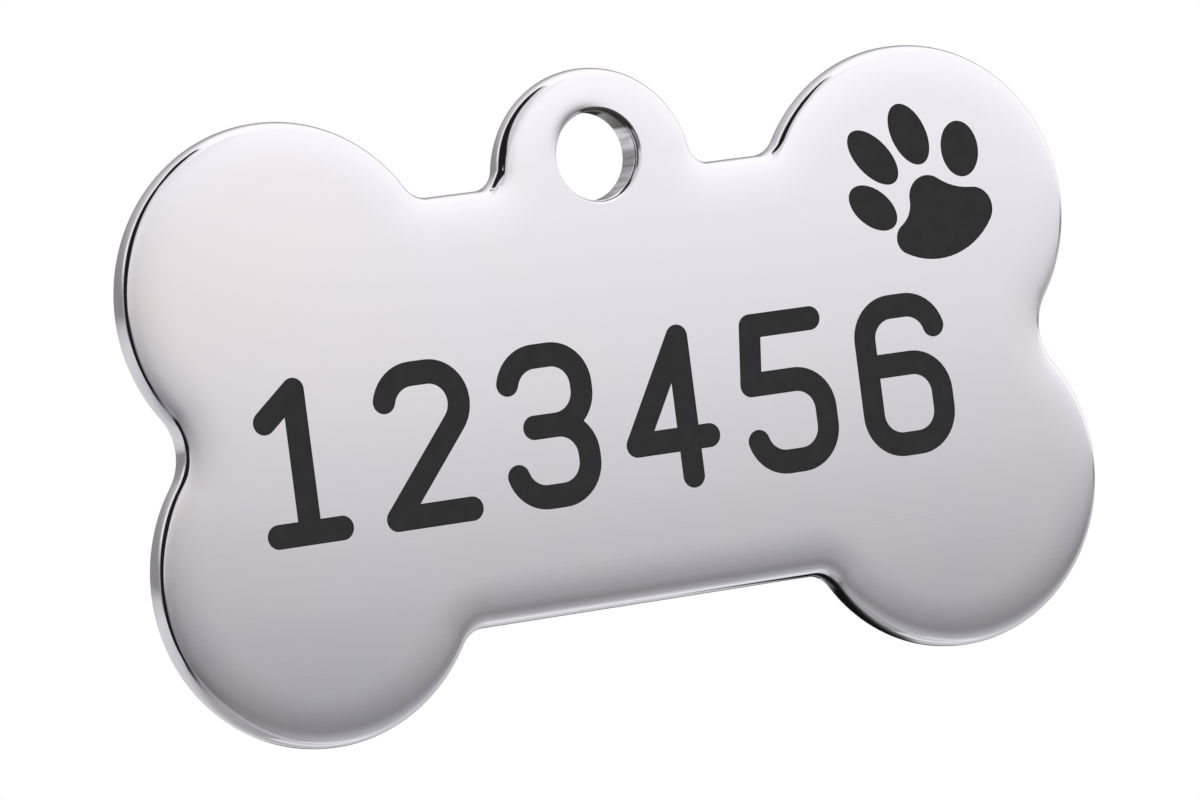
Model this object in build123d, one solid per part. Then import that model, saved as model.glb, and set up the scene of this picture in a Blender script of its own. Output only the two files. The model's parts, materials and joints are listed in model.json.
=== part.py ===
from build123d import *
import os
from math import asin, atan2, degrees, sqrt

# A bone-shaped pet id tag: one stamped, polished steel plate with a ring ear, and the dark enamel
# that fills the marks engraved in its face. The tag hangs upright, +Z towards the ear, its face
# towards -Y. The origin is the centre of the ring hole, half-way through the plate. Millimetres.
# Everything is drawn lying flat, face up, and stood upright as it is written out.

# Bone plate
bone_length = 50.0
bone_height = 29.2
lobe_radius = 8.15
waist_height = 20.35
end_notch_radius = 2.7
waist_blend_radius = 1.4
plate_thickness = 1.8
edge_rounding = 0.6

# Ring ear: a round boss centred on the waist's upper edge, with the ring hole a little above its centre
ear_radius = 5.15
ear_blend_radius = 1.05
hole_diameter = 4.2
hole_lift = 0.95
hole_edge_rounding = 0.3

# Engraving and its enamel
engraving_depth = 0.3
enamel_recess = 0.03

# Number: the bare steel left beside it and between it and the paw, its height, the gap between
# figures, the width of the engraved line and how far a curved end goes round, in degrees
number_figures = "123456"
number_margin_left = 5.3
number_margin_right = 7.6
number_below_paw = 1.4
number_height = 7.8
figure_gap = 1.4
line_width = 1.15
head_sweep = 75

# Paw print in the upper right lobe: its middle above the lobe's centre, and the bare steel over it
paw_lift = 1.35
paw_margin = 2.7

# The rest of the paw is given in shares of the paw's radius, with angles in degrees.
# Each toe pad: reach and bearing from the paw's middle, half length, half width, tilt of its length.
toe_pad_shares = [
    (0.649, 198.6, 0.356, 0.217, 140),
    (0.656, 144.5, 0.410, 0.217, 131),
    (0.600, 91.9, 0.390, 0.229, 112.5),
    (0.729, 29.2, 0.332, 0.249, 94),
]
# The main pad's left, right and top lobes: reach and bearing from the paw's middle, and radius.
pad_lobe_shares = [
    (0.637, 255.7, 0.194),
    (0.809, 333.1, 0.258),
    (0.209, 311.2, 0.254),
]
# The arcs that join them: the broad heel below, and the hollows at the right and the left of the top.
pad_heel_share = 0.911
pad_right_hollow_share = 0.770
pad_left_hollow_share = 0.315

# Most of the plate's thickness that one rounded edge may take, and most of a figure's width and height
# that one of its curves may take
rounding_share = 0.45
curve_width_share = 0.42
curve_height_share = 0.23

# How far apart two places may lie and still count as one
same_place = 1e-4

# Places that follow from these sizes, seen on the face with the ring hole at (0, 0)
face_level = plate_thickness / 2
bone_middle = Vector(0, -waist_height / 2 - hole_lift)
lobe_x = bone_length / 2 - lobe_radius
lobe_y = bone_height / 2 - lobe_radius
largest_rounding = rounding_share * plate_thickness


def polar(centre, reach, bearing):
    """The point at this reach and bearing from a centre."""
    return Vector(centre) + Vector(reach, 0).rotate(Axis.Z, bearing)


def bearing_of(vector):
    return degrees(atan2(vector.Y, vector.X))


def with_rounded_corners(sketch, radius):
    """The outline with every inner corner filled to this radius, by growing it and shrinking it back."""
    return offset(offset(sketch, radius), -radius)


def bone_outline():
    """The bone and its ear, with every inner corner rounded."""
    lobe_pair = Locations((0, lobe_y), (0, -lobe_y)) * Circle(lobe_radius)
    bone_end = with_rounded_corners(Sketch() + lobe_pair, end_notch_radius)
    bone = Rectangle(2 * lobe_x, waist_height)
    for side in (-1, 1):
        bone += Pos(side * lobe_x, 0) * bone_end
    bone = with_rounded_corners(bone, waist_blend_radius)
    ear = Pos(0, waist_height / 2) * Circle(ear_radius)
    return Pos(bone_middle) * with_rounded_corners(bone + ear, ear_blend_radius)


def bare_plate():
    """The plate before it is engraved: rounded rim, and a ring hole with softened edges."""
    plate = extrude(bone_outline(), plate_thickness / 2, both=True)
    rims = plate.faces().filter_by(Axis.Z).edges()
    plate = fillet(rims, min(edge_rounding, largest_rounding))
    plate -= Cylinder(hole_diameter / 2, plate_thickness)
    hole_edges = plate.edges().filter_by(GeomType.CIRCLE).filter_by(is_round_the_hole)
    return fillet(hole_edges, min(hole_edge_rounding, largest_rounding))


def is_round_the_hole(edge):
    """True for a circle of the hole's size about the hole's own axis."""
    off_axis = Vector(edge.arc_center.X, edge.arc_center.Y).length
    return off_axis < same_place and abs(edge.radius - hole_diameter / 2) < same_place


def stroke(*edges):
    """An engraved line with round ends that follows edges joined end to end."""
    return Sketch() + Face(Wire(edges).offset_2d(line_width / 2))


def figure_one(width, height, curve):
    """Flag, stem and foot."""
    stem_x = width / 2
    flag_reach = 0.42 * width
    flag_drop = 0.2 * height
    foot_inset = 0.08 * width
    top = (stem_x, height)
    stem = stroke(Line((stem_x - flag_reach, height - flag_drop), top), Line(top, (stem_x, 0)))
    return stem + stroke(Line((foot_inset, 0), (width - foot_inset, 0)))


def figure_two(width, height, curve):
    """A rounded head whose slope runs tangent to it down to a straight foot."""
    centre = Vector(width - curve, height - curve)
    slope_bearing = bearing_of(centre) - degrees(asin(curve / centre.length))
    slope_end = polar((0, 0), sqrt(centre.length**2 - curve**2), slope_bearing)
    return stroke(
        CenterArc((curve, height - curve), curve, 90 + head_sweep, -head_sweep),
        Line((curve, height), (width - curve, height)),
        CenterArc(centre, curve, 90, bearing_of(slope_end - centre) - 90),
        Line(slope_end, (0, 0)),
        Line((0, 0), (width, 0)),
    )


def figure_three(width, height, curve):
    """Two rounded bowls that share a tongue."""
    waist = height / 2
    tongue = 0.3 * width
    upper_bowl = stroke(
        CenterArc((curve, height - curve), curve, 90 + head_sweep, -head_sweep),
        Line((curve, height), (width - curve, height)),
        CenterArc((width - curve, height - curve), curve, 90, -90),
        Line((width, height - curve), (width, waist + curve)),
        CenterArc((width - curve, waist + curve), curve, 0, -90),
        Line((width - curve, waist), (tongue, waist)),
    )
    lower_bowl = stroke(*rounded_bowl(width, waist, curve, tongue))
    return upper_bowl + lower_bowl


def rounded_bowl(width, top, curve, start_x):
    """The lower bowl of figures three and five, from its upper left end round to its lower left end."""
    return [
        Line((start_x, top), (width - curve, top)),
        CenterArc((width - curve, top - curve), curve, 90, -90),
        Line((width, top - curve), (width, curve)),
        CenterArc((width - curve, curve), curve, 0, -90),
        Line((width - curve, 0), (curve, 0)),
        CenterArc((curve, curve), curve, -90, -head_sweep),
    ]


def figure_four(width, height, curve):
    """A sail of two lines, crossed by the stem."""
    stem_x = 0.72 * width
    bar_y = 0.27 * height
    sail = stroke(Line((stem_x, height), (0, bar_y)), Line((0, bar_y), (width, bar_y)))
    return sail + stroke(Line((stem_x, height), (stem_x, 0)))


def figure_five(width, height, curve):
    """A flag and a leaning stem over the lower bowl."""
    shoulder = 0.58 * height
    lean = 0.08 * width
    return stroke(
        Line((width - lean, height), (lean, height)),
        Line((lean, height), (0, shoulder)),
        *rounded_bowl(width, shoulder, curve, 0),
    )


def figure_six(width, height, curve):
    """A hooked stem that runs round into a closed bowl."""
    shoulder = 0.58 * height
    hook = stroke(
        CenterArc((width - curve, height - curve), curve, 90 - head_sweep, head_sweep),
        Line((width - curve, height), (curve, height)),
        CenterArc((curve, height - curve), curve, 90, 90),
        Line((0, height - curve), (0, curve)),
        CenterArc((curve, curve), curve, 180, 90),
        Line((curve, 0), (width - curve, 0)),
        CenterArc((width - curve, curve), curve, -90, 90),
        Line((width, curve), (width, shoulder - curve)),
        CenterArc((width - curve, shoulder - curve), curve, 0, 90),
    )
    return hook + stroke(Line((width - curve, shoulder), (line_width / 4, shoulder)))


figures = {
    "1": figure_one,
    "2": figure_two,
    "3": figure_three,
    "4": figure_four,
    "5": figure_five,
    "6": figure_six,
}


def number_marks(top):
    """One mark per figure, in a row across the bone between its margins, with their tops at this height."""
    row_left = number_margin_left - bone_length / 2
    row_width = bone_length - number_margin_left - number_margin_right
    pitch = (row_width + figure_gap) / len(number_figures)
    drawn_width = pitch - figure_gap - line_width
    drawn_height = number_height - line_width
    curve = min(curve_width_share * drawn_width, curve_height_share * drawn_height)
    marks = {}
    for place, figure in enumerate(number_figures):
        drawn = figures[figure](drawn_width, drawn_height, curve)
        left = row_left + place * pitch + line_width / 2
        foot = top - number_height + line_width / 2
        marks[f"digit_fill_{place + 1}"] = Pos(left, foot) * drawn
    return marks


def meeting_point(centre_a, reach_a, centre_b, reach_b):
    """The point to the right of the way from a to b that lies at these reaches from the two."""
    way = centre_b - centre_a
    along = (reach_a**2 - reach_b**2 + way.length**2) / (2 * way.length)
    across = sqrt(reach_a**2 - along**2)
    forward = way.normalized()
    return centre_a + forward * along + Vector(forward.Y, -forward.X) * across


def arc_between(centre, radius, start, end, turn):
    """The arc of a circle from start to end, counter-clockwise with turn 1 and clockwise with -1."""
    first = bearing_of(start - centre)
    sweep = (turn * (bearing_of(end - centre) - first)) % 360
    return CenterArc(centre, radius, first, turn * sweep)


def pad_outline(middle, scale):
    """The main pad: three lobes, joined by a broad heel arc and two hollow arcs, all tangent."""
    left, right, top = [polar(middle, reach * scale, bearing) for reach, bearing, _ in pad_lobe_shares]
    left_radius, right_radius, top_radius = [radius * scale for _, _, radius in pad_lobe_shares]
    heel_radius = pad_heel_share * scale
    right_hollow_radius = pad_right_hollow_share * scale
    left_hollow_radius = pad_left_hollow_share * scale

    heel = meeting_point(right, heel_radius - right_radius, left, heel_radius - left_radius)
    right_hollow = meeting_point(
        right, right_radius + right_hollow_radius, top, top_radius + right_hollow_radius
    )
    left_hollow = meeting_point(
        top, top_radius + left_hollow_radius, left, left_radius + left_hollow_radius
    )

    def touch(centre, radius, other):
        return centre + (other - centre).normalized() * radius

    heel_left = touch(heel, heel_radius, left)
    heel_right = touch(heel, heel_radius, right)
    right_leaves = touch(right, right_radius, right_hollow)
    top_begins = touch(top, top_radius, right_hollow)
    top_leaves = touch(top, top_radius, left_hollow)
    left_begins = touch(left, left_radius, left_hollow)
    arcs = [
        arc_between(heel, heel_radius, heel_left, heel_right, 1),
        arc_between(right, right_radius, heel_right, right_leaves, 1),
        arc_between(right_hollow, right_hollow_radius, right_leaves, top_begins, -1),
        arc_between(top, top_radius, top_begins, top_leaves, 1),
        arc_between(left_hollow, left_hollow_radius, top_leaves, left_begins, -1),
        arc_between(left, left_radius, left_begins, heel_left, 1),
    ]
    return Sketch() + Face(Wire(arcs))


def paw_marks():
    """The paw print: a main pad and four oval toe pads in the upper right lobe."""
    paw_radius = lobe_radius - paw_lift - paw_margin
    middle = bone_middle + Vector(lobe_x, lobe_y + paw_lift)
    marks = {"paw_pad_fill": pad_outline(middle, paw_radius)}
    for count, (reach, bearing, half_length, half_width, tilt) in enumerate(toe_pad_shares, 1):
        oval = Ellipse(half_length * paw_radius, half_width * paw_radius)
        place = polar(middle, reach * paw_radius, bearing)
        marks[f"paw_toe_fill_{count}"] = Pos(place) * Rot(0, 0, tilt) * oval
    return marks


def write_upright(shape, name):
    export_step(Plane.XZ.location * shape, f"parts/{name}.step")


os.makedirs("parts", exist_ok=True)

marks = paw_marks()
paw_foot = marks["paw_pad_fill"].bounding_box().min.Y
marks |= number_marks(paw_foot - number_below_paw)
engraving_floor = Pos(0, 0, face_level - engraving_depth)

tag_plate = bare_plate()
for mark in marks.values():
    tag_plate -= engraving_floor * extrude(mark, engraving_depth)
write_upright(tag_plate, "tag_plate")

for name, mark in marks.items():
    enamel = engraving_floor * extrude(mark, engraving_depth - enamel_recess)
    write_upright(enamel, name)
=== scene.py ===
# %% [markdown]
# # A bone-shaped steel tag
# The real tag is one stamped and polished steel plate, with dark enamel in shallow recesses in its
# face. The CAD model comes in as a fixed frame, in metres, with the face towards -Y and the middle
# of the ring hole at the origin. Nothing in it is moved: a new piece is built where the CAD says.

import json
import math

import bmesh
import bpy
from mathutils import Matrix, Vector
from mathutils.bvhtree import BVHTree


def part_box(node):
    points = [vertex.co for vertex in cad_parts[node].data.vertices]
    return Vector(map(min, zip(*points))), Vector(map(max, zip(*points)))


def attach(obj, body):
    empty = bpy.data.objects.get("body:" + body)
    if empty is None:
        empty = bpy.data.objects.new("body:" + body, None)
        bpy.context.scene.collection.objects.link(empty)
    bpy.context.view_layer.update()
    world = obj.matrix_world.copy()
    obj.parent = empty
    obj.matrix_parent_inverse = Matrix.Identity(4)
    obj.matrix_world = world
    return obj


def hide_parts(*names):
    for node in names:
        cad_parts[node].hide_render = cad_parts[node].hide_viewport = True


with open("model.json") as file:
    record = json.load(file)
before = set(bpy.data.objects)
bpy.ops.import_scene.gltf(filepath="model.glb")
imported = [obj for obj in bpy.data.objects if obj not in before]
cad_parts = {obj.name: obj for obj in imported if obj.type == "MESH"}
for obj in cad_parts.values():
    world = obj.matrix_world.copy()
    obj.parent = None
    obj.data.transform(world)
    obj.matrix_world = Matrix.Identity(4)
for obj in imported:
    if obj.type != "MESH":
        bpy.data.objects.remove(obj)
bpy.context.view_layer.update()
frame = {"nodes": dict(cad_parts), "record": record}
print("CAD nodes:", sorted(frame["nodes"]))

# %% [markdown]
# ## Sizes
# The plate's length, height and thickness and the size of its hole are those of the CAD model. They
# could be typed in again, but a change in the CAD model would then leave this plate behind, so they
# are read from the frame: from the plate's box and the record's hole. Only the radii of the outline
# are repeated, because a box can't tell them. Everything else on the outline follows from these.

# %% Sizes of the plate, from the frame and a few radii
MM = 0.001
plate_low, plate_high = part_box("tag_plate")
face_level = plate_low.y
back_level = plate_high.y
ring_hole = next(mount for mount in frame["record"]["mounts"] if mount["name"] == "ring_hole")
hole_radius = ring_hole["dims"]["r_mm"] * MM
lobe_radius = 8.15 * MM
waist_height = 20.35 * MM
end_notch_radius = 2.7 * MM
waist_blend_radius = 1.4 * MM
ear_radius = 5.15 * MM
ear_blend_radius = 1.05 * MM
ear_top = plate_high.z
waist_top = ear_top - ear_radius
bone_middle = waist_top - waist_height / 2
lobe_x = plate_high.x - lobe_radius
lobe_rise = bone_middle - plate_low.z - lobe_radius
print("plate", [round(side / MM, 3) for side in plate_high - plate_low], "mm")

# %% [markdown]
# ## The way round the edge
# Seen from the front, half of the outline is a row of arcs that run smoothly into each other: the
# ear, a small hollow, the straight waist, another hollow, a lobe, the end notch, a lobe, a hollow
# and the waist below. It could be traced as a long list of points, but a mirror finish shows every
# kink, so it is kept as turns and straight runs. A turn to the right is positive. Two arcs that touch
# have their centres in line with the point where they touch, so each angle follows from the centres.
# The hollow beside the ear is taken in two turns, because the wide roll of the face starts only
# part-way round it.

# %% Where the arcs have their centres, and how far each one turns
ear_blend_x = math.sqrt((ear_radius + ear_blend_radius) ** 2 - ear_blend_radius ** 2)
ear_turn = math.atan2(ear_blend_x, ear_blend_radius)
blend_drop = waist_height / 2 + waist_blend_radius - lobe_rise
blend_reach = math.sqrt((lobe_radius + waist_blend_radius) ** 2 - blend_drop ** 2)
blend_x = lobe_x - blend_reach
blend_turn = math.atan2(blend_reach, blend_drop)
notch_lean = math.asin(lobe_rise / (lobe_radius + end_notch_radius))
notch_x = lobe_x + (lobe_radius + end_notch_radius) * math.cos(notch_lean)
lobe_turn = math.pi / 2 + blend_turn + notch_lean
waist_foot = waist_top - waist_height
ear_hollow = Vector((ear_blend_x, 0, waist_top + ear_blend_radius))
upper_lobe = Vector((lobe_x, 0, bone_middle + lobe_rise))
lower_lobe = Vector((lobe_x, 0, bone_middle - lobe_rise))
print("each lobe turns", round(math.degrees(lobe_turn), 1), "degrees")

# %% The turns and straight runs of the right half
roll_start_turn = math.radians(60)
ear_outline = [
    ("turn", Vector((0, 0, waist_top)), ear_turn),
    ("turn", ear_hollow, roll_start_turn - ear_turn),
]
bone_outline = [
    ("turn", ear_hollow, -roll_start_turn),
    ("run", Vector((blend_x - ear_blend_x, 0, 0)), None),
    ("turn", Vector((blend_x, 0, waist_top + waist_blend_radius)), -blend_turn),
    ("turn", upper_lobe, lobe_turn),
    ("turn", Vector((notch_x, 0, bone_middle)), -2 * notch_lean),
    ("turn", lower_lobe, lobe_turn),
    ("turn", Vector((blend_x, 0, waist_foot - waist_blend_radius)), -blend_turn),
    ("run", Vector((-blend_x, 0, 0)), None),
]
print("half outline:", len(ear_outline) + len(bone_outline), "moves")

# %% [markdown]
# ## The rim's section
# Polishing wheels roll the edge of such a plate over. The face starts to fall about three
# millimetres from the edge, slowly at first, then faster at the lip, and a tight corner takes it
# into the wall. This roll makes the dark and bright lines round the tag, so it is modelled and not
# painted. A bevel could round the edge, but not with so slow a start. So the section is drawn with a
# pen: one vertex that is pulled along straight strokes and spun round each corner. The corner is
# deeper than it is wide, so its arc is stretched.

# %% How the face falls towards the edge
roll_reach = 2.9 * MM
roll_lean = math.radians(1.9)
lip_reach = 1.0 * MM
lip_lean = math.radians(4.5)
rim_reach = 0.4 * MM
rim_depth = 0.9 * MM


def fall(distance, reach, lean):
    """Slope and dip, at a distance from an edge, of a face that falls from this reach on."""
    share = max(0.0, 1 - distance / reach)
    return math.tan(lean) * share ** 2, math.tan(lean) * reach * share ** 3 / 3


def roll_slope(distance):
    """How steeply the face leans outwards at this distance from the plate's edge."""
    return fall(distance, roll_reach, roll_lean)[0] + fall(distance, lip_reach, lip_lean)[0]


def roll_dip(distance):
    """How far the face lies below its flat middle at this distance from the plate's edge."""
    return fall(distance, roll_reach, roll_lean)[1] + fall(distance, lip_reach, lip_lean)[1]


rim_turn = math.atan(roll_slope(rim_reach) * rim_reach / rim_depth)
rim_start = rim_reach * (1 - math.sin(rim_turn))
print("the face falls", round(roll_dip(rim_start) / MM, 3), "mm before its corner")


# %% A pen that draws a section in the YZ plane
def pen_run(shape, tip, shift):
    """Draws a straight stroke from a vertex and returns the new tip."""
    new_tip = bmesh.ops.extrude_vert_indiv(shape, verts=[tip])["verts"][0]
    new_tip.co += shift
    return new_tip


def pen_turn(shape, tip, centre, angle, steps):
    """Draws an arc about a line along X and returns the new tip."""
    last = bmesh.ops.spin(
        shape, geom=[tip], cent=centre, axis=(1, 0, 0), dvec=(0, 0, 0), angle=angle, steps=steps,
        use_merge=False, use_normal_flip=False, use_duplicate=False,
    )["geom_last"]
    return next(vert for vert in last if isinstance(vert, bmesh.types.BMVert))


print("the pen draws strokes and arcs")


# %% Corners and rolls for the pen
def pen_corner(shape, tip, upwards, first_turn, reach, depth, steps):
    """Draws the corner between a face and a wall, an arc stretched in depth; returns the new tip."""
    present = set(shape.verts)
    centre = tip.co + Vector((0, math.cos(first_turn), -upwards * math.sin(first_turn))) * reach
    new_tip = pen_turn(shape, tip, centre, upwards * (first_turn - math.pi / 2), steps)
    drawn = [vert for vert in shape.verts if vert not in present]
    start = Matrix.Translation(-tip.co)
    bmesh.ops.scale(shape, vec=(1, depth / reach, 1), space=start, verts=drawn)
    return new_tip


def pen_roll(shape, tip, first, last, strokes):
    """Draws the rolling face from one distance off its edge to another, and returns the new tip."""
    for stroke in range(strokes):
        before = first + (last - first) * stroke / strokes
        after = first + (last - first) * (stroke + 1) / strokes
        tip = pen_run(shape, tip, Vector((0, roll_dip(after) - roll_dip(before), before - after)))
    return tip


print("the corner starts", round(math.degrees(rim_turn), 2), "degrees into its arc")

# %% [markdown]
# ## Sweeping the rim
# On the real tag the polishing wheel follows the edge. A curve with this section as its profile could
# do the same, but it pinches in the tight hollows. So the section is carried round as a router follows
# a template: spun about the centre of each arc, and extruded along each straight run. All the arcs are
# concentric with the edge, so every point of the section keeps its distance. The narrow rim goes all
# the way round. The wide roll of the face leaves out the ear, where the hole is in its way. Half is
# swept, and then mirrored.


# %% Which edges a sweep takes up
def wire_edges(shape):
    """The edges that are drawn and not yet swept."""
    return [edge for edge in shape.edges if edge.is_wire]


def ends_of(edges):
    """The vertices of some edges, each once."""
    return list({vert for edge in edges for vert in edge.verts})


def kind_in(geometry, kind):
    """The items of one kind, such as faces, in what an operator gave back."""
    return [item for item in geometry if isinstance(item, kind)]


def swept_edges(geometry):
    """The edges of a swept section's new end, without the ones that lead to it."""
    moved = set(kind_in(geometry, bmesh.types.BMVert))
    edges = kind_in(geometry, bmesh.types.BMEdge)
    return [edge for edge in edges if all(vert in moved for vert in edge.verts)]


print("ready to pick edges")

# %% A sweep along turns and runs
TURN_STEP = math.radians(2.5)
RUN_STEP = 0.7 * MM
JOIN_GAP = 0.001 * MM


def sweep(shape, section, path):
    """Carries a row of edges along the path's turns and runs."""
    for kind, where, angle in path:
        if kind == "turn":
            steps = math.ceil(abs(angle) / TURN_STEP)
            last = bmesh.ops.spin(
                shape, geom=section + ends_of(section), cent=where, axis=(0, 1, 0),
                dvec=(0, 0, 0), angle=angle, steps=steps, use_merge=False,
                use_normal_flip=False, use_duplicate=False,
            )["geom_last"]
            section = swept_edges(last)
        else:
            steps = math.ceil(where.length / RUN_STEP)
            for step in range(steps):
                last = bmesh.ops.extrude_edge_only(shape, edges=section)["geom"]
                section = swept_edges(last)
                bmesh.ops.translate(shape, verts=ends_of(section), vec=where / steps)


def mirror_half(shape):
    """Mirrors the right half to the left and joins the two."""
    whole = shape.verts[:] + shape.edges[:] + shape.faces[:]
    bmesh.ops.mirror(
        shape, geom=whole, matrix=Matrix.Identity(4), merge_dist=JOIN_GAP, axis="X")
    bmesh.ops.remove_doubles(shape, verts=shape.verts[:], dist=JOIN_GAP)


print("a sweep steps", round(math.degrees(TURN_STEP), 1), "degrees or", RUN_STEP / MM, "mm")

# %% Draw the section above the ear and sweep it
back_rounding = 0.65 * MM
skirt_reach = 1.05 * MM
roll_strokes = 8
corner_steps = 18
back_steps = 10

plate = bmesh.new()
recess_mark = plate.faces.layers.int.new("in_recess")
tip = plate.verts.new((0, face_level + roll_dip(skirt_reach), ear_top - skirt_reach))
tip = pen_roll(plate, tip, skirt_reach, rim_start, roll_strokes)
tip = pen_corner(plate, tip, 1, rim_turn, rim_reach, rim_depth, corner_steps)
back_centre = Vector((0, back_level - back_rounding, ear_top - back_rounding))
tip = pen_run(plate, tip, Vector((0, back_centre.y - tip.co.y, 0)))
tip = pen_turn(plate, tip, back_centre, -math.pi / 2, back_steps)
sweep(plate, wire_edges(plate), ear_outline + bone_outline)
print("rim:", len(plate.verts), "vertices,", len(plate.faces), "faces")

# %% Sweep the wide roll of the face, and mirror both
strip_reach = 2.6 * MM
tip = plate.verts.new((0, face_level + roll_dip(strip_reach), ear_top - strip_reach))
tip = pen_roll(plate, tip, strip_reach, skirt_reach, roll_strokes)
roll_section = wire_edges(plate)
for kind, where, angle in ear_outline:
    turn = Matrix.Rotation(angle, 3, "Y")
    bmesh.ops.rotate(plate, verts=ends_of(roll_section), cent=where, matrix=turn)
sweep(plate, roll_section, bone_outline)
mirror_half(plate)
print("rim and roll:", len(plate.verts), "vertices,", len(plate.faces), "faces")

# %% [markdown]
# ## Distance to the edge
# How far the polished face has fallen depends on the distance to the plate's edge. That could be
# worked out arc by arc, but it is simpler to sweep a plain ribbon along the same outline, and to let
# a search tree find its nearest point.

# %% A ribbon along the plate's edge
ribbon = bmesh.new()
ribbon_foot = ribbon.verts.new((0, face_level, ear_top))
pen_run(ribbon, ribbon_foot, Vector((0, back_level - face_level, 0)))
sweep(ribbon, wire_edges(ribbon), ear_outline + bone_outline)
mirror_half(ribbon)
ribbon_tree = BVHTree.FromBMesh(ribbon)
ribbon.free()


def way_to_edge(point):
    """How far the plate's edge is from a point of the face, and the direction to it."""
    nearest = ribbon_tree.find_nearest(Vector((point.x, 0, point.z)))[0]
    away = Vector((nearest.x - point.x, 0, nearest.z - point.z))
    return away.length, away.normalized()


print("the hole's middle is", round(way_to_edge(Vector((0, 0, 0)))[0] / MM, 3), "mm from the edge")

# %% [markdown]
# ## The ring hole
# The hole is punched, so its mouth is crisp: only a small corner between the face and its wall. A
# boolean could cut it, but it leaves uneven edges that are hard to round. So its section is drawn
# above the hole and spun all the way round, with the last step merged to the first. A few flat rings
# round the mouth leave vertices for the soft spot where a ring has worn it.

# %% Draw the hole's section and spin it
mouth_reach = 1.0 * MM
mouth_corner = 0.18 * MM
mouth_depth = 0.38 * MM
mouth_back_rounding = 0.3 * MM
mouth_rings = 7
mouth_corner_steps = 12
mouth_back_steps = 6
hole_steps = 112

tip = plate.verts.new((0, face_level, hole_radius + mouth_reach))
for ring in range(mouth_rings):
    tip = pen_run(plate, tip, Vector((0, 0, (mouth_corner - mouth_reach) / mouth_rings)))
tip = pen_corner(plate, tip, -1, 0.0, mouth_corner, mouth_depth, mouth_corner_steps)
mouth_back = Vector((0, back_level - mouth_back_rounding, hole_radius + mouth_back_rounding))
tip = pen_run(plate, tip, Vector((0, mouth_back.y - tip.co.y, 0)))
tip = pen_turn(plate, tip, mouth_back, math.pi / 2, mouth_back_steps)
hole_section = wire_edges(plate)
bmesh.ops.spin(
    plate, geom=hole_section + ends_of(hole_section), cent=(0, 0, 0), axis=(0, 1, 0), dvec=(0, 0, 0),
    angle=math.tau, steps=hole_steps, use_merge=True, use_normal_flip=False, use_duplicate=False,
)
print("with the hole:", len(plate.verts), "vertices")

# %% [markdown]
# ## The face, with the outlines of the enamel
# Each enamel fill sits in a recess of its own outline. A merged copy of the CAD fill gives that
# outline: its front face is kept, and of that only the border. The face could be cut with a boolean,
# but that leaves slivers which a mirror finish shows. So it is one flat fill between the rim, the
# hole and these borders, and the back is a fill of its own.

# %% Bring in the borders of the enamel fills
fill_names = sorted(name for name in frame["nodes"] if name != "tag_plate")
BORDER_GAP = 0.0001 * MM
NEAR = 0.01 * MM


def bring_border(shape, node_name):
    """Adds the border of a CAD fill's front face to the shape and returns its edges."""
    present = set(shape.verts)
    shape.from_mesh(frame["nodes"][node_name].data)
    fresh = [vert for vert in shape.verts if vert not in present]
    bmesh.ops.remove_doubles(shape, verts=fresh, dist=BORDER_GAP)
    fresh = [vert for vert in shape.verts if vert not in present]
    front = min(vert.co.y for vert in fresh)
    behind = [vert for vert in fresh if vert.co.y > front + NEAR]
    bmesh.ops.delete(shape, geom=behind, context="VERTS")
    fresh = [vert for vert in shape.verts if vert not in present]
    inner = {edge for vert in fresh for edge in vert.link_edges if not edge.is_boundary}
    bmesh.ops.delete(shape, geom=list(inner), context="EDGES")
    for vert in fresh:
        vert.co.y = face_level
    return list({edge for vert in fresh for edge in vert.link_edges})


open_edges = [edge for edge in plate.edges if edge.is_boundary]
front_open = [edge for edge in open_edges if edge.verts[0].co.y < 0]
back_open = [edge for edge in open_edges if edge.verts[0].co.y > 0]
borders = {name: bring_border(plate, name) for name in fill_names}
print("borders:", {name: len(edges) for name, edges in borders.items()})

# %% Fill the face and the back
TO_FRONT = (0, -1, 0)
TO_BACK = (0, 1, 0)


def fill_flat(shape, edges, normal):
    """Fills the flat room between some closed borders and returns the new faces."""
    filled = bmesh.ops.triangle_fill(
        shape, use_beauty=True, use_dissolve=False, edges=edges, normal=normal)
    return kind_in(filled["geom"], bmesh.types.BMFace)


all_borders = [edge for edges in borders.values() for edge in edges]
face_faces = fill_flat(plate, front_open + all_borders, TO_FRONT)
back_faces = fill_flat(plate, back_open, TO_BACK)
print("face:", len(face_faces), "triangles, back:", len(back_faces))

# %% [markdown]
# ## The worn mouth, and the normals of the face
# A split ring has worn a soft spot into the hole's mouth, at its upper left, so the face falls into
# the hole there. It could be sculpted, but a rule is easier to correct: the vertices sink as they do
# towards the plate's edge, most on the worn side. Then every point of the face gets the normal that
# this slope asks for, because a mirror finish shows even a small error in a normal. The mouth's corner
# is also a little wider towards the right, where the light catches it.

# %% Wear the mouth and work out the normals
worn_lean = math.radians(7.5)
worn_angle = math.radians(128)
worn_side = Vector((math.cos(worn_angle), 0, math.sin(worn_angle)))


def way_from_hole(point):
    """How far a point of the face is from the hole's wall, and the direction away from the hole."""
    away = Vector((point.x, 0, point.z))
    return math.hypot(point.x, point.z) - hole_radius, away.normalized()


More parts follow.
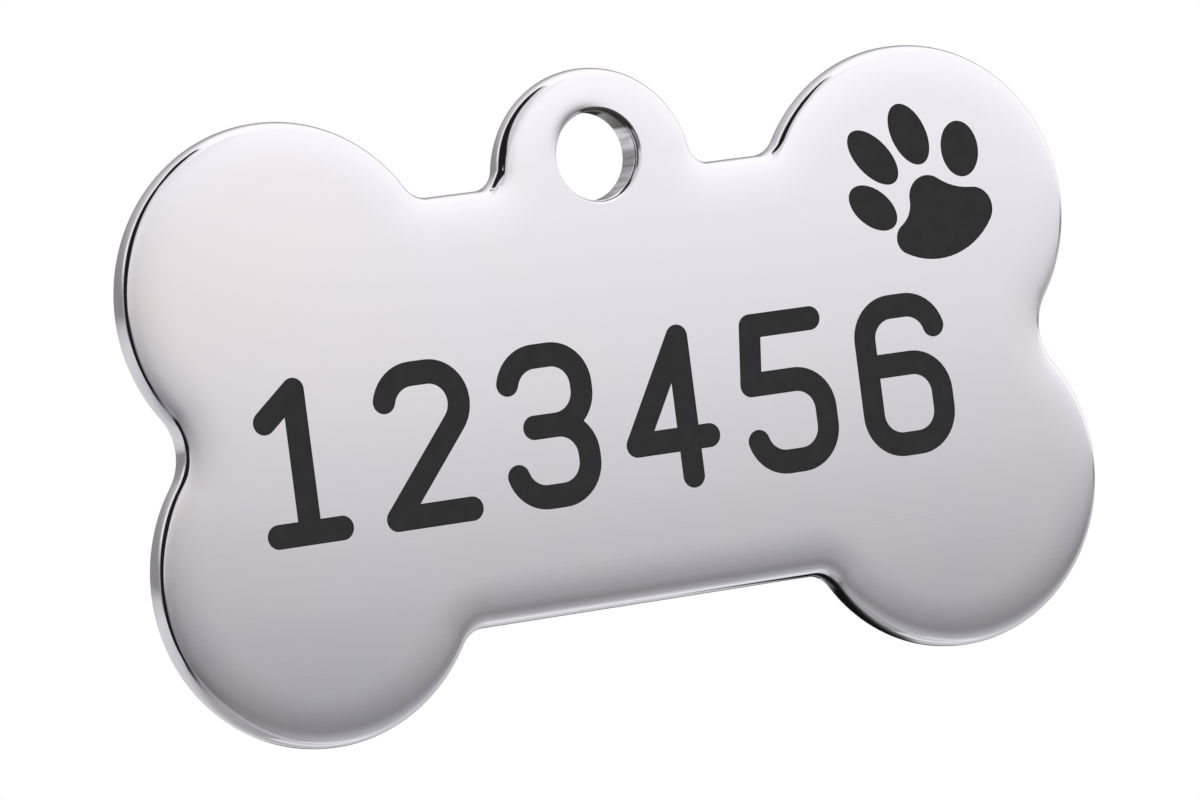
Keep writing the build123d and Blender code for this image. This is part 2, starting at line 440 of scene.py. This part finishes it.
soft_normals = {}
for vert in plate.verts:
    from_hole, away = way_from_hole(vert.co)
    distance, outwards = way_to_edge(vert.co)
    if vert.co.y > back_level - NEAR:
        soft_normals[vert] = Vector(TO_BACK)
    if vert.co.y > 0 or distance < rim_start - NEAR:
        continue
    worn_share = max(0.0, away.dot(worn_side)) ** 3
    worn_slope, worn_dip = fall(max(from_hole, mouth_corner), mouth_reach, worn_lean)
    if from_hole < mouth_reach + NEAR:
        vert.co.y += roll_dip(distance) + worn_share * worn_dip
    if from_hole < mouth_corner - NEAR:
        continue
    lean = outwards * roll_slope(distance) - away * worn_slope * worn_share
    soft_normals[vert] = (Vector(TO_FRONT) + lean).normalized()
print("normals set on", len(soft_normals), "vertices")

# %% Widen the mouth's corner towards the right
wider_mouth = 0.1
wider_on_right = 0.4


def part_way(value, low, high):
    """How far a value has come from low to high, from 0 to 1."""
    return min(1.0, max(0.0, (value - low) / (high - low)))


moved = 0
for vert in plate.verts:
    from_hole, away = way_from_hole(vert.co)
    if vert.co.y > 0 or from_hole > mouth_reach - NEAR:
        continue
    wider = min(from_hole, mouth_corner) * (wider_mouth + wider_on_right * away.x)
    vert.co += away * wider * part_way(mouth_reach - from_hole, 0, mouth_reach - mouth_corner)
    moved += 1
print("mouth:", moved, "vertices moved")

# %% [markdown]
# ## Crisper left edges
# The left edges of the lobes are less rolled than the rest: their dark line is thin and close to the
# edge. A second section could be swept there, but it would have to change slowly into the first. It
# is simpler to draw the corner's vertices towards the edge, most where the edge faces left, and not
# on the ear or where the edge turns down.

# %% Draw the left corners of the lobes towards the edge
crisp_share = 0.45
left_from = 0.3
left_fully = 0.7
down_from = 0.35
down_fully = 0.75

moved = 0
for vert in plate.verts:
    distance, outwards = way_to_edge(vert.co)
    on_ear = vert.co.z > waist_top and abs(vert.co.x) < ear_radius + ear_blend_radius
    if vert.co.y > 0 or distance > skirt_reach - NEAR or on_ear:
        continue
    faces_left = part_way(-outwards.x, left_from, left_fully)
    faces_down = part_way(-outwards.z, down_from, down_fully)
    drawn_out = min(distance, rim_reach) * crisp_share * faces_left * (1 - faces_down)
    vert.co += outwards * drawn_out * part_way(skirt_reach - distance, 0, skirt_reach - rim_reach)
    if drawn_out > 0:
        moved += 1
print("crisper edges:", moved, "vertices moved")

# %% [markdown]
# ## The recesses
# An engraver's cutter leaves a shallow recess with a steep wall and a flat floor. The fills could be
# cut out of the plate, but their borders are already in the face, so each one is just extruded down
# to the back of its fill and filled there. The edges at the top and the bottom of the wall are marked
# sharp, so that they don't bend the smooth face.

# %% Sink the recesses
IN_RECESS = 1
for name, edges in borders.items():
    floor_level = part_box(name)[1].y
    sunk = bmesh.ops.extrude_edge_only(plate, edges=edges)["geom"]
    sunk_verts = kind_in(sunk, bmesh.types.BMVert)
    bmesh.ops.translate(plate, verts=sunk_verts, vec=(0, floor_level - face_level, 0))
    sunk_edges = swept_edges(sunk)
    for edge in edges + sunk_edges:
        edge.smooth = False
    recess_walls = kind_in(sunk, bmesh.types.BMFace)
    for face in recess_walls + fill_flat(plate, sunk_edges, TO_FRONT):
        face[recess_mark] = IN_RECESS
bmesh.ops.recalc_face_normals(plate, faces=plate.faces[:])
print("open edges left:", sum(1 for edge in plate.edges if not edge.is_manifold))

# %% [markdown]
# ## One piece of steel
# The rim, the face, the hole, the recesses and the back are one piece, as on the stamped plate. Smooth
# shading alone averages the normals of large and small faces, and a mirror finish shows that as waves.
# A Weighted Normal modifier could calm them, but the true slopes are known here, so they are set as
# custom normals. The recesses, the walls and the tight corners keep the normals that Blender finds.

# %% Make the plate an object with its normals
no_normal = Vector((0, 0, 0))


def make_object(shape, name):
    """Turns a finished shape into an object of the scene."""
    mesh = bpy.data.meshes.new(name)
    shape.to_mesh(mesh)
    shape.free()
    made = bpy.data.objects.new(name, mesh)
    bpy.context.scene.collection.objects.link(made)
    return made


for face in plate.faces:
    face.smooth = True
plate.verts.index_update()
normal_of = {vert.index: normal for vert, normal in soft_normals.items()}
steel_plate = make_object(plate, "steel_plate")
plate_mesh = steel_plate.data
corner_normals = []
for polygon, mark in zip(plate_mesh.polygons, plate_mesh.attributes["in_recess"].data):
    for vertex_index in polygon.vertices:
        in_recess = mark.value == IN_RECESS
        corner_normals.append(no_normal if in_recess else normal_of.get(vertex_index, no_normal))
plate_mesh.normals_split_custom_set(corner_normals)
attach(steel_plate, "root")
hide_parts("tag_plate")
print("plate:", len(plate_mesh.polygons), "faces")

# %% [markdown]
# ## Shader sums
# A finish is a small sum over the surface. Its nodes could be added and joined one by one, but nobody
# can read a sum that way. This class wraps one socket, so that the sum is written as a Python
# expression, and one method adds any other kind of node. The short methods at its end only give a
# name to the nodes that are used often.

# %% One socket in a node tree
class Signal:
    """A socket that takes part in sums; each sum adds a Math node."""

    def __init__(self, tree, socket=None):
        self.tree = tree
        self.socket = socket

    def node(self, kind, settings, sockets, output=0):
        """Adds a node, sets it up, joins its sockets and returns one of its outputs."""
        made = self.tree.nodes.new(kind)
        for name, value in settings.items():
            if name == "stops":
                ramp = made.color_ramp
                while len(ramp.elements) < len(value):
                    ramp.elements.new(1.0)
                for element, (place, shade) in zip(ramp.elements, value):
                    element.position = place
                    element.color = (shade, shade, shade, 1)
            else:
                setattr(made, name, value)
        for name, value in sockets.items():
            if isinstance(value, Signal):
                self.tree.links.new(value.socket, made.inputs[name])
            else:
                made.inputs[name].default_value = value
        return Signal(self.tree, made.outputs[output])

    def maths(self, operation, first, second=0.0):
        """A Math node on two values or signals."""
        return self.node("ShaderNodeMath", {"operation": operation}, {0: first, 1: second})

    def __add__(self, other):
        return self.maths("ADD", self, other)

    def __radd__(self, other):
        return self.maths("ADD", other, self)

    def __sub__(self, other):
        return self.maths("SUBTRACT", self, other)

    def __rsub__(self, other):
        return self.maths("SUBTRACT", other, self)

    def __mul__(self, other):
        return self.maths("MULTIPLY", self, other)

    def __rmul__(self, other):
        return self.maths("MULTIPLY", other, self)

    def between(self, low, high):
        """0 below low, 1 above high, and a soft step in between."""
        settings = {"interpolation_type": "SMOOTHSTEP"}
        sockets = {"Value": self, "From Min": low, "From Max": high}
        return self.node("ShaderNodeMapRange", settings, sockets)

    def mix(self, first, second, blend="MIX"):
        """The first colour where this signal is 0, and the second laid over it where it is 1."""
        settings = {"data_type": "RGBA", "blend_type": blend}
        return self.node("ShaderNodeMix", settings, {0: self, 6: first, 7: second}, 2)

    def ramp(self, stops):
        """A grey that follows a row of stops."""
        return self.node("ShaderNodeValToRGB", {"stops": stops}, {0: self})

    def axis(self, name):
        """One of the three values of a place or a direction."""
        return self.node("ShaderNodeSeparateXYZ", {}, {0: self}, name)

    def stretched(self, scale):
        """A place scaled by its own factor along each axis."""
        return self.node("ShaderNodeMapping", {}, {"Vector": self, "Scale": scale})

    def noise(self, scale, detail, roughness):
        """A cloudy pattern over a place."""
        sockets = {"Vector": self, "Scale": scale, "Detail": detail, "Roughness": roughness}
        return self.node("ShaderNodeTexNoise", {}, sockets)


print("shader sums ready")


# %% A fresh finish, and how it is fed
def new_finish(name):
    """A fresh material: its node tree as a start for sums, and its surface shader."""
    finish = bpy.data.materials.new(name)
    finish.use_nodes = True
    return finish, Signal(finish.node_tree), finish.node_tree.nodes["Principled BSDF"]


def place_in_mm(start):
    """Where a point of the piece is, on Object coordinates, in mm."""
    metres = start.node("ShaderNodeTexCoord", {}, {}, "Object")
    return start.node(
        "ShaderNodeVectorMath", {"operation": "SCALE"}, {0: metres, "Scale": 1 / MM})


def feed(signal, shader, socket_name):
    """Joins a signal to a socket of the surface shader."""
    signal.tree.links.new(signal.socket, shader.inputs[socket_name])


print("finishes ready")

# %% [markdown]
# ## Polished steel
# The face is polished almost to a mirror, with faint hairlines along its length and a few soft
# smudges that change its gloss. The edge and the hole are punched, and the punch leaves fine marks
# that run through the plate; the edge is tumbled smooth again, the hole isn't. The hole's wall is
# painted a darker brown at its top, with thin darker streaks along the rest of the wall.
# Three finishes could share the plate, but their borders would be hard. So one finish serves it all,
# and soft masks tell the face, the edge and the hole apart. All patterns run on Object coordinates,
# in mm.

# %% Steel: where the face, the edge and the hole are
wall_ends = 0.70
face_starts = 0.84
hole_mm = hole_radius / MM
steel, start, steel_shader = new_finish("polished_steel")
place = place_in_mm(start)
along_x = place.axis("X")
along_z = place.axis("Z")
from_axis = start.maths("SQRT", along_x * along_x + along_z * along_z)


def near_hole(full_to, gone_at):
    """1 at the hole's wall, fading to 0 between two distances from it, in mm."""
    return 1 - from_axis.between(hole_mm + full_to, hole_mm + gone_at)


on_flat = start.maths("ABSOLUTE", place.axis("Y")).between(wall_ends, face_starts)
in_hole = near_hole(full_to=0.02, gone_at=0.08)
in_mouth = near_hole(full_to=0.17, gone_at=0.25)
print("steel's masks:", len(steel.node_tree.nodes), "nodes")

# %% Steel: hairlines, smudges and punch marks
along_the_face = (0.12, 1.0, 9.0)
through_the_plate = (3.0, 0.5, 3.0)
hairlines = place.stretched(along_the_face).noise(scale=1.0, detail=5.0, roughness=0.6)
smudges = place.noise(scale=0.16, detail=3.0, roughness=0.5)
punch_marks = place.stretched(through_the_plate).noise(scale=1.0, detail=4.0, roughness=0.6)
print("with its marks:", len(steel.node_tree.nodes), "nodes")

# %% Steel: how rough each part is
polished = 0.045
tumbled = 0.05
punched = 0.08
hairline_haze = 0.03
smudge_haze = 0.03
edge_mark_haze = 0.05
hole_mark_haze = 0.14
face_roughness = polished + hairlines * hairline_haze + smudges * smudge_haze
edge_roughness = tumbled + punch_marks * edge_mark_haze
hole_roughness = punched + punch_marks * hole_mark_haze
side_roughness = edge_roughness + in_hole * (hole_roughness - edge_roughness)
feed(side_roughness + on_flat * (face_roughness - side_roughness), steel_shader, "Roughness")
print("with its roughness:", len(steel.node_tree.nodes), "nodes")

# %% Steel: its colour, darker brown at the top of the hole's wall
cool_steel = (0.864, 0.830, 0.897, 1)
warm_steel = (0.874, 0.833, 0.889, 1)
darkening_brown = (0.090, 0.070, 0.066, 1)
darkening_lean = math.radians(68)
along_the_wall = (2.2, 0.35, 2.2)
streak_waver = 0.16
streak_cover = 0.35
tint = smudges.between(0.35, 0.65).mix(cool_steel, warm_steel)
streaks = place.stretched(along_the_wall).noise(scale=1.0, detail=2.0, roughness=0.5)
# The top of the hole's wall is painted a darker brown, with thin darker streaks along the wall.
towards_darkening = (
    along_x * (math.cos(darkening_lean) / hole_mm) + along_z * (math.sin(darkening_lean) / hole_mm))
top_darkening = (towards_darkening + streaks * streak_waver).between(0.86, 0.94)
streak_darkening = streaks.between(0.50, 0.62) * streak_cover
hole_darkening = start.maths("MAXIMUM", top_darkening * in_mouth, streak_darkening * in_hole)
feed(hole_darkening.mix(tint, darkening_brown), steel_shader, "Base Color")
print("with its colour:", len(steel.node_tree.nodes), "nodes")

# %% Steel: the marks as a fine relief
hairline_relief = 0.5
hole_relief = 5.0
face_height = hairlines * on_flat * hairline_relief
side_height = punch_marks * (1 - on_flat) * (1.0 + hole_relief * in_hole)
grain_bump = start.node(
    "ShaderNodeBump", {},
    {"Height": face_height + side_height, "Strength": 0.05, "Distance": 0.006 * MM})
feed(grain_bump, steel_shader, "Normal")
steel_shader.inputs["Metallic"].default_value = 1.0
plate_mesh.materials.append(steel)
print("steel:", len(steel.node_tree.nodes), "nodes")

# %% [markdown]
# ## Dark enamel
# The marks are filled with a dark grey baked enamel, a shade above black and hardly shiny. It could be
# painted on the steel with a mask, but a real fill lies a little below the face. The CAD fills have
# the right shape, so they stay and only get this finish. A fine mottle in its colour and gloss keeps
# it from looking like flat print.

# %% Enamel on the CAD fills
darker_enamel = (0.0183, 0.0183, 0.0193, 1)
lighter_enamel = (0.0226, 0.0226, 0.0236, 1)
satin = 0.42
mottle_haze = 0.12
enamel, start, enamel_shader = new_finish("dark_enamel")
place = place_in_mm(start)
mottle = place.noise(scale=1.1, detail=4.0, roughness=0.6)
speckle = place.noise(scale=9.0, detail=2.0, roughness=0.5)
feed(mottle.between(0.3, 0.7).mix(darker_enamel, lighter_enamel), enamel_shader, "Base Color")
feed(satin + mottle * mottle_haze, enamel_shader, "Roughness")
speckle_bump = start.node(
    "ShaderNodeBump", {}, {"Height": speckle, "Strength": 0.15, "Distance": 0.01 * MM})
feed(speckle_bump, enamel_shader, "Normal")
enamel_shader.inputs["Specular IOR Level"].default_value = 0.2
for name in fill_names:
    fill_mesh = frame["nodes"][name].data
    fill_mesh.materials.clear()
    fill_mesh.materials.append(enamel)
print("enamel on", len(fill_names), "fills")

# %% [markdown]
# ## The floor
# The tag hangs in the air in the photograph, on plain white. A curved sheet of paper could make that
# white, but it would stand in the way of other views, and the light tent gives the white anyway. So
# only a wide pale floor lies well below the tag, out of the picture. It shows when the tag is seen
# from higher up, and the steel doesn't mirror it.

# %% A wide pale floor
floor_drop = 110 * MM
floor_reach = 0.6
paper_white = 0.97


def grey(level):
    """A colour that is equally bright in red, green and blue."""
    return (level, level, level, 1)


floor_shape = bmesh.new()
bmesh.ops.create_circle(floor_shape, cap_ends=True, segments=96, radius=floor_reach)
bmesh.ops.translate(floor_shape, verts=floor_shape.verts[:], vec=(0, 0, plate_low.z - floor_drop))
floor = make_object(floor_shape, "floor")
floor.visible_glossy = False
paper, _, paper_shader = new_finish("floor_paper")
paper_shader.inputs["Base Color"].default_value = grey(paper_white)
paper_shader.inputs["Roughness"].default_value = 0.9
paper_shader.inputs["Specular IOR Level"].default_value = 0.0
floor.data.materials.append(paper)
print("floor", round(floor_drop / MM), "mm below the tag")

# %% [markdown]
# ## The light tent
# Polished steel shows its surroundings, so these matter more than any lamp. Such a tag is shot in a
# white tent: white above, a grey table in front that the lower face mirrors, white paper straight
# below, and a black card at the left that draws the dark line along the left edges. A tent could be
# built of sheets and lamps, but then every reflection has to be found by moving them. So it is painted
# on the world by direction: a bearing round the tag, and a height from -1, straight below, to 1,
# overhead. The brightness by height comes first, for the front, the left and the back.

# %% Directions in the tent
world = bpy.data.worlds.new("light_tent")
bpy.context.scene.world = world
world.use_nodes = True
tent = Signal(world.node_tree)
direction = tent.node("ShaderNodeTexCoord", {}, {}, "Generated")
to_right = direction.axis("X")
to_back = direction.axis("Y")
to_top = direction.axis("Z")
bearing = tent.maths("ARCTAN2", to_right, 0 - to_back) * (0.5 / math.pi) + 0.5


def at_side(degrees):
    """Where a bearing, in degrees to the right of the front, lies on the way round from 0 to 1."""
    return 0.5 + degrees / 360


def at_height(degrees):
    """Where an elevation, in degrees, lies on the way up from 0 to 1."""
    return 0.5 + 0.5 * math.sin(math.radians(degrees))


print("the front is", at_side(0), "of the way round, and", at_height(0), "of the way up")

# %% Brightness by height, in front, at the left and behind
front_levels = [
    (-90, 0.60), (-72, 0.70), (-62, 0.90), (-52, 0.70), (-30, 0.58), (-15, 0.55), (-9.2, 0.51),
    (-7.9, 0.42), (-6.9, 0.34), (-5.8, 0.25), (-5.2, 0.26), (-3.75, 0.42), (-2.75, 0.60),
    (-1.25, 0.83), (0.25, 0.985), (2.3, 1.10), (12, 1.14), (90, 1.16)]
left_levels = [
    (-90, 0.55), (-60, 0.58), (-45, 0.50), (-25, 0.38), (-15, 0.33), (-9, 0.30), (-6, 0.23),
    (-3.75, 0.28), (-2.75, 0.37), (-1.25, 0.53), (0.25, 0.70), (1.3, 0.78), (2.6, 0.90),
    (16, 0.93), (45, 1.00), (90, 1.16)]
back_levels = [
    (-90, 0.50), (-60, 0.42), (-42, 0.44), (-33, 0.54), (-26, 0.64), (-10, 0.72), (-4, 0.60),
    (-2.6, 0.50), (-0.5, 0.36), (0.5, 0.28), (8, 0.28), (17, 0.32), (30, 0.60), (45, 0.95),
    (90, 1.14)]
half_height = to_top * 0.5 + 0.5


def light_by_height(levels):
    """The tent's brightness, from pairs of an elevation in degrees and a level."""
    return half_height.ramp([(at_height(degrees), level) for degrees, level in levels])


front_light = light_by_height(front_levels)
left_light = light_by_height(left_levels)
back_light = light_by_height(back_levels)
print("levels:", len(front_levels), "in front,", len(left_levels), "left,", len(back_levels), "behind")

# %% [markdown]
# ## Sides, shades and cards
# The left of the tent is dimmer, most of all far round, and the table has a soft shade there. A bright
# strip climbs at the back left, a dark grey card stands at the back right, and the black card at the
# left; the edges of the strip and of the black card lean as they climb. They could be pictures laid
# over the tent, but soft masks need only a few limits: each one is a product of soft steps in bearing
# and height, and can be moved or softened on its own.


# %% Soft steps by height and by bearing
def above(low, high):
    """A mask for what is higher than this, from -1, straight below, to 1, overhead."""
    return to_top.between(low, high)


def below(low, high):
    """A mask for what is lower than this."""
    return 1 - to_top.between(low, high)


def right_of(low, high, side=bearing):
    """A mask for what is further right than this, in degrees from the front."""
    return side.between(at_side(low), at_side(high))


def left_of(low, high, side=bearing):
    """A mask for what is further left than this, in degrees from the front."""
    return 1 - side.between(at_side(low), at_side(high))


def stops_by_bearing(levels):
    """Ramp stops from pairs of a bearing in degrees and a level."""
    return [(at_side(degrees), level) for degrees, level in levels]


print("straight right is", at_side(90), "of the way round")

# %% Masks for the sides and shades
table_slant = 0.191
back_turn = 0.27
on_left = bearing.ramp(stops_by_bearing([(-180, 1), (20.2, 1), (23.6, 0), (180, 0)]))
far_left = left_of(-45, 8)
table_shade = (
    right_of(-25, -12) * left_of(25.5, 28.7, bearing - to_top * table_slant)
    * above(-0.40, -0.32) * below(-0.105, -0.075))
to_back_left = to_back - to_right * below(-0.30, -0.10) * back_turn
behind = to_back_left.between(0.45, 0.75)
print("tent so far:", len(world.node_tree.nodes), "nodes")

# %% Masks for the strip and the cards
outer_lean = 80 / 360
inner_lean = 150 / 360
inner_lean_starts = 0.45
strip_levels = [(-180, 0), (-140, 0), (-135, 1), (-127, 1), (-124, 0), (180, 0)]
above_level = tent.maths("MAXIMUM", to_top, 0.0)
outer_side = bearing + above_level * above_level * outer_lean
inner_side = bearing + tent.maths("MAXIMUM", to_top - inner_lean_starts, 0.0) * inner_lean
strip_by_bearing = outer_side.ramp(stops_by_bearing(strip_levels))
bright_strip = above(0.10, 0.38).mix(grey(0), strip_by_bearing)
side_card = (
    to_right.between(0.28, 0.34) * to_back.between(0.77, 0.85)
    * above(-0.42, -0.34) * below(0.0, 0.04))
black_card = (
    right_of(-127, -122, outer_side) * left_of(-76, -54, inner_side)
    * above(-0.87, -0.57) * below(0.90, 0.97))
print("tent so far:", len(world.node_tree.nodes), "nodes")

# %% [markdown]
# ## Laying the tent together
# The layers go over each other from the widest to the smallest, as cloths and cards do in a real tent,
# and two faint tints come last: a warm one level with the tag and a little to the right, and a cool
# one on all that lies lower. One long sum could do it, but a row of mixes can be read as the layers
# that they are. The camera itself sees plain white behind the tag, and only mirrored light sees the
# painted tent.

# %% Lay the sides, the strip and the cards over each other
dim_side = grey(0.70)
strip_white = grey(0.95)
card_grey = grey(0.04)
card_black = grey(0.01)
left_dimmed = far_left.mix(left_light, dim_side, "MULTIPLY")
left_shaded = table_shade.mix(left_dimmed, dim_side, "MULTIPLY")
ahead = on_left.mix(front_light, left_shaded)
all_round = behind.mix(ahead, back_light)
with_strip = bright_strip.mix(all_round, strip_white)
with_side_card = side_card.mix(with_strip, card_grey)
with_black_card = black_card.mix(with_side_card, card_black)
print("tent so far:", len(world.node_tree.nodes), "nodes")

# %% Tint the tent, and show the camera plain white
white = grey(1)
warm_tint = (1.02, 0.995, 0.94, 1)
cool_tint = (0.982, 1.0, 1.008, 1)
warm_share = right_of(14, 20) * left_of(23.6, 25.8) * above(-0.032, -0.012) * below(0.0, 0.03)
warmed = warm_share.mix(with_black_card, warm_tint, "MULTIPLY")
mirrored = below(-0.06, -0.035).mix(warmed, cool_tint, "MULTIPLY")
is_camera = tent.node("ShaderNodeLightPath", {}, {}, "Is Camera Ray")
is_glossy = tent.node("ShaderNodeLightPath", {}, {}, "Is Glossy Ray")
backdrop = is_camera.mix(is_glossy.mix(white, mirrored), white)
background = world.node_tree.nodes["Background"]
world.node_tree.links.new(backdrop.socket, background.inputs["Color"])
background.inputs["Strength"].default_value = 1.0
bpy.context.scene.view_settings.view_transform = "Standard"
print("tent:", len(world.node_tree.nodes), "nodes")

# %% [markdown]
# ## A dark card close behind one lobe
# The wall of the lower right lobe mirrors something dark that the lower left lobe doesn't show. It
# could be painted in the tent too, but there it would darken both lobes, so it has to be close to that
# one. A small black card with soft edges stands just behind it, below and to the left. Only the mirror
# finish sees the card: it casts no shadow, and the camera looks through it.

# %% Stand a black card behind the lower right lobe
card_depth = 1.9 * MM
card_reach = 15 * MM
card_place = lower_lobe + Vector((0, card_depth, 0))
card_shape = bmesh.new()
bmesh.ops.create_circle(card_shape, cap_ends=True, segments=48, radius=card_reach)
upright = Matrix.Rotation(math.pi / 2, 3, "X")
bmesh.ops.rotate(card_shape, verts=card_shape.verts[:], cent=(0, 0, 0), matrix=upright)
bmesh.ops.translate(card_shape, verts=card_shape.verts[:], vec=card_place)
card = make_object(card_shape, "black_card")
card.visible_camera = False
card.visible_diffuse = False
card.visible_shadow = False
print("card", round(card_depth / MM, 1), "mm behind the plate's middle")

# %% Fade the card out towards its edges
card_lean = math.radians(235)
card_half_angle = math.radians(26)
card_skew = 0.5
sector_fade = 0.6
card_starts = 8.1
card_full = 8.4
card_fades = 9.4
card_ends = 15.5
card_paper, start, card_shader = new_finish("black_card")
place = place_in_mm(start)
along_x = place.axis("X") - card_place.x / MM
along_z = place.axis("Z") - card_place.z / MM
from_middle = start.maths("SQRT", along_x * along_x + along_z * along_z)
towards_card = along_x * math.cos(card_lean) + along_z * math.sin(card_lean)
across_card = along_z * math.cos(card_lean) - along_x * math.sin(card_lean)
in_sector = (towards_card - from_middle * math.cos(card_half_angle)).between(0.0, sector_fade)
past_lobe = from_middle.between(card_starts, card_full)
far_out = (from_middle + across_card * card_skew).between(card_fades, card_ends)
feed(in_sector * past_lobe * (1 - far_out), card_shader, "Alpha")
card_shader.inputs["Base Color"].default_value = card_black
card_shader.inputs["Roughness"].default_value = 1.0
card_shader.inputs["Specular IOR Level"].default_value = 0.0
card.data.materials.append(card_paper)
print("card:", len(card_paper.node_tree.nodes), "nodes")

# %% [markdown]
# ## The camera
# The photograph is taken from the left, almost level, with a long lens, and the camera is rolled so
# that the tag climbs to the right. It could be turned by eye until the picture looks right, but a few
# tenths of a degree change every reflection, so its angles come from a fit to the tag's outline.

# %% Which way the camera looks
view_bearing = math.radians(-26.367)
view_rise = math.radians(1.56)
view_roll = math.radians(7.367)
towards_camera = Vector((
    math.sin(view_bearing) * math.cos(view_rise),
    -math.cos(view_bearing) * math.cos(view_rise),
    math.sin(view_rise)))
level_right = (-towards_camera).cross(Vector((0, 0, 1))).normalized()
level_down = (-towards_camera).cross(level_right)
picture_right = level_right * math.cos(view_roll) + level_down * math.sin(view_roll)
picture_down = level_down * math.cos(view_roll) - level_right * math.sin(view_roll)
print("towards the camera:", [round(value, 3) for value in towards_camera])

# %% Place the camera
view_distance = 348.147 * MM
right_shift = 1.312 * MM
down_shift = -0.521 * MM
lens_pixels = 7368.506
photo_width = 1200
sensor_width = 36.0

bone_centre = Vector((0, face_level, bone_middle))
aim = bone_centre - picture_right * right_shift - picture_down * down_shift
camera_place = aim + towards_camera * view_distance
axes = Matrix((picture_right, -picture_down, towards_camera)).transposed().to_4x4()
lens = bpy.data.cameras.new("camera")
lens.sensor_width = sensor_width
lens.lens = lens_pixels * sensor_width / photo_width
lens.clip_start = 0.01
camera = bpy.data.objects.new("camera", lens)
camera.matrix_world = Matrix.Translation(camera_place) @ axes
bpy.context.scene.collection.objects.link(camera)
bpy.context.scene.camera = camera
print("lens", round(lens.lens, 1), "mm at", [round(value, 3) for value in camera_place])
